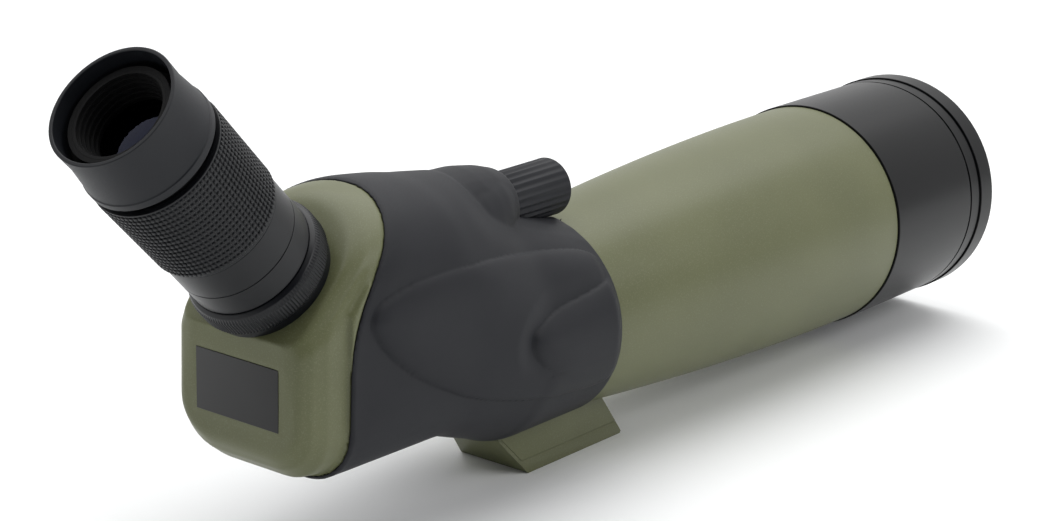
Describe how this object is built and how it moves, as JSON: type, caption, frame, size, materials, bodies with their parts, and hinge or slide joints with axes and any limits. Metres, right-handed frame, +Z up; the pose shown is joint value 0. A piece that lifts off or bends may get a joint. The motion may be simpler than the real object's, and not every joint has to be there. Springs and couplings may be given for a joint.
{
  "type": "spotting scope",
  "caption": "Angled spotting scope with a pull-out sunshade, rubber-armoured prism body, focus knob, tripod foot and a zoom eyepiece with a twist-up eyecup.",
  "frame": {"origin": "mouth of the tripod thread, in the middle of the foot's underside", "axes": "+X forward along the objective's axis, +Z up, so -Z points out of the tripod thread; +Y to the left seen from behind"},
  "size_m": [0.4933, 0.0958, 0.1851],
  "materials": {
    "dew_shield": "black satin anodised",
    "shade_felt_ring": "black felt",
    "barrel": "olive speckled satin paint",
    "barrel_seal": "black nitrile",
    "barrel_baffles": "matt black",
    "objective_cell": "matt black anodised",
    "objective_seal": "black nitrile",
    "crown_lens": "coated optical glass",
    "flint_lens": "coated optical glass",
    "lens_spacer": "turned",
    "lens_retaining_ring": "matt black anodised",
    "body_shell": "olive speckled satin paint on a light alloy casting",
    "rear_housing": "olive speckled satin paint on a light alloy casting",
    "housing_screws": "plain steel",
    "rubber_armour": "soft charcoal rubber",
    "label_plate": "blank black plate",
    "foot_saddle": "olive satin paint on a light alloy casting",
    "mounting_plate": "olive satin paint",
    "tripod_bush": "turned brass",
    "foot_screws": "plain steel",
    "guide_rods": "ground steel",
    "focus_carriage": "matt black anodised",
    "focusing_lens": "coated optical glass",
    "focus_lens_ring": "matt black anodised",
    "focus_shaft": "ground steel",
    "focus_bush": "turned brass",
    "shaft_seal": "black nitrile",
    "shaft_clip": "spring steel",
    "focus_knob": "fluted charcoal rubber",
    "knob_screw": "plain steel",
    "knob_cap": "charcoal rubber",
    "prism_cage": "milled plate",
    "roof_prism": "polished prism glass",
    "prism_clip": "spring steel",
    "cage_screws": "plain steel",
    "eyepiece_base": "black anodised",
    "eyepiece_seal": "black nitrile",
    "lock_collar": "knurled, black satin anodised",
    "lower_barrel": "black satin anodised",
    "guide_tube": "bored tube",
    "field_lens": "coated optical glass",
    "zoom_sleeve": "black anodised",
    "zoom_grip": "studded black rubber",
    "cam_sleeve": "milled brass",
    "rear_zoom_cell": "matt black anodised",
    "rear_zoom_lens": "coated optical glass",
    "front_zoom_cell": "matt black anodised",
    "front_zoom_lens": "coated optical glass",
    "upper_barrel": "black anodised",
    "eye_lens": "coated optical glass",
    "eye_lens_ring": "stepped matt black",
    "eyecup_lift_ring": "black moulding",
    "eyecup_sleeve": "black moulding",
    "eyecup": "smooth black rubber"
  },
  "bodies": {
    "base": {"shade_felt_ring": "shade_felt_ring", "barrel": "barrel", "barrel_seal": "barrel_seal", "barrel_baffles": "barrel_baffles", "objective_cell": "objective_cell", "objective_seal": "objective_seal", "crown_lens": "crown_lens", "flint_lens": "flint_lens", "lens_spacer": "lens_spacer", "lens_retaining_ring": "lens_retaining_ring", "body_shell": "body_shell", "rear_housing": "rear_housing", "housing_screws": "housing_screws", "rubber_armour": "rubber_armour", "label_plate": "label_plate", "foot_saddle": "foot_saddle", "mounting_plate": "mounting_plate", "tripod_bush": "tripod_bush", "foot_screws": "foot_screws", "guide_rods": "guide_rods", "focus_bush": "focus_bush", "shaft_seal": "shaft_seal", "prism_cage": "prism_cage", "roof_prism": "roof_prism", "prism_clip": "prism_clip", "cage_screws": "cage_screws", "eyepiece_base": "eyepiece_base", "eyepiece_seal": "eyepiece_seal", "lower_barrel": "lower_barrel", "guide_tube": "guide_tube", "field_lens": "field_lens", "upper_barrel": "upper_barrel", "eye_lens": "eye_lens", "eye_lens_ring": "eye_lens_ring"},
    "shade": {"dew_shield": "dew_shield"},
    "knob": {"focus_shaft": "focus_shaft", "shaft_clip": "shaft_clip", "focus_knob": "focus_knob", "knob_screw": "knob_screw", "knob_cap": "knob_cap"},
    "carriage": {"focus_carriage": "focus_carriage", "focusing_lens": "focusing_lens", "focus_lens_ring": "focus_lens_ring"},
    "collar": {"lock_collar": "lock_collar"},
    "zoom": {"zoom_sleeve": "zoom_sleeve", "zoom_grip": "zoom_grip", "cam_sleeve": "cam_sleeve"},
    "rear_cell": {"rear_zoom_cell": "rear_zoom_cell", "rear_zoom_lens": "rear_zoom_lens"},
    "front_cell": {"front_zoom_cell": "front_zoom_cell", "front_zoom_lens": "front_zoom_lens"},
    "cup_lift": {"eyecup_lift_ring": "eyecup_lift_ring"},
    "cup": {"eyecup_sleeve": "eyecup_sleeve", "eyecup": "eyecup"}
  },
  "joints": [
    {"name": "shade_slide", "type": "slide", "parent": "base", "child": "shade", "axis": [1, 0, 0], "range_m": [0, 0.042]},
    {"name": "focus_turn", "type": "hinge", "parent": "base", "child": "knob", "pos_m": [-0.0374, 0, 0.1014], "axis": [1, 0, 0], "range_deg": [-360, 360]},
    {"name": "focus_slide", "type": "slide", "parent": "base", "child": "carriage", "axis": [1, 0, 0], "range_m": [-0.006, 0.006]},
    {"name": "collar_turn", "type": "hinge", "parent": "base", "child": "collar", "pos_m": [-0.15873, 0, 0.10593], "axis": [-0.7071, 0, 0.7071], "range_deg": [0, 60]},
    {"name": "zoom_turn", "type": "hinge", "parent": "base", "child": "zoom", "pos_m": [-0.19136, 0, 0.13856], "axis": [-0.7071, 0, 0.7071], "range_deg": [-75, 75]},
    {"name": "rear_cell_slide", "type": "slide", "parent": "base", "child": "rear_cell", "axis": [-0.7071, 0, 0.7071], "range_m": [-0.005, 0.005]},
    {"name": "front_cell_slide", "type": "slide", "parent": "base", "child": "front_cell", "axis": [-0.7071, 0, 0.7071], "range_m": [-0.0035, 0.0035]},
    {"name": "cup_lift_slide", "type": "slide", "parent": "base", "child": "cup_lift", "axis": [-0.7071, 0, 0.7071], "range_m": [0, 0.008]},
    {"name": "cup_turn", "type": "hinge", "parent": "cup_lift", "child": "cup", "pos_m": [-0.21187, 0, 0.15907], "axis": [-0.7071, 0, 0.7071], "range_deg": [0, 120]}
  ],
  "couplings": [
    {"joint": "focus_turn", "follows": "focus_slide", "rad_per_m": 1047.2},
    {"joint": "zoom_turn", "follows": "rear_cell_slide", "rad_per_m": 261.8},
    {"joint": "front_cell_slide", "follows": "rear_cell_slide", "ratio": 0.7},
    {"joint": "cup_turn", "follows": "cup_lift_slide", "rad_per_m": 261.8}
  ]
}
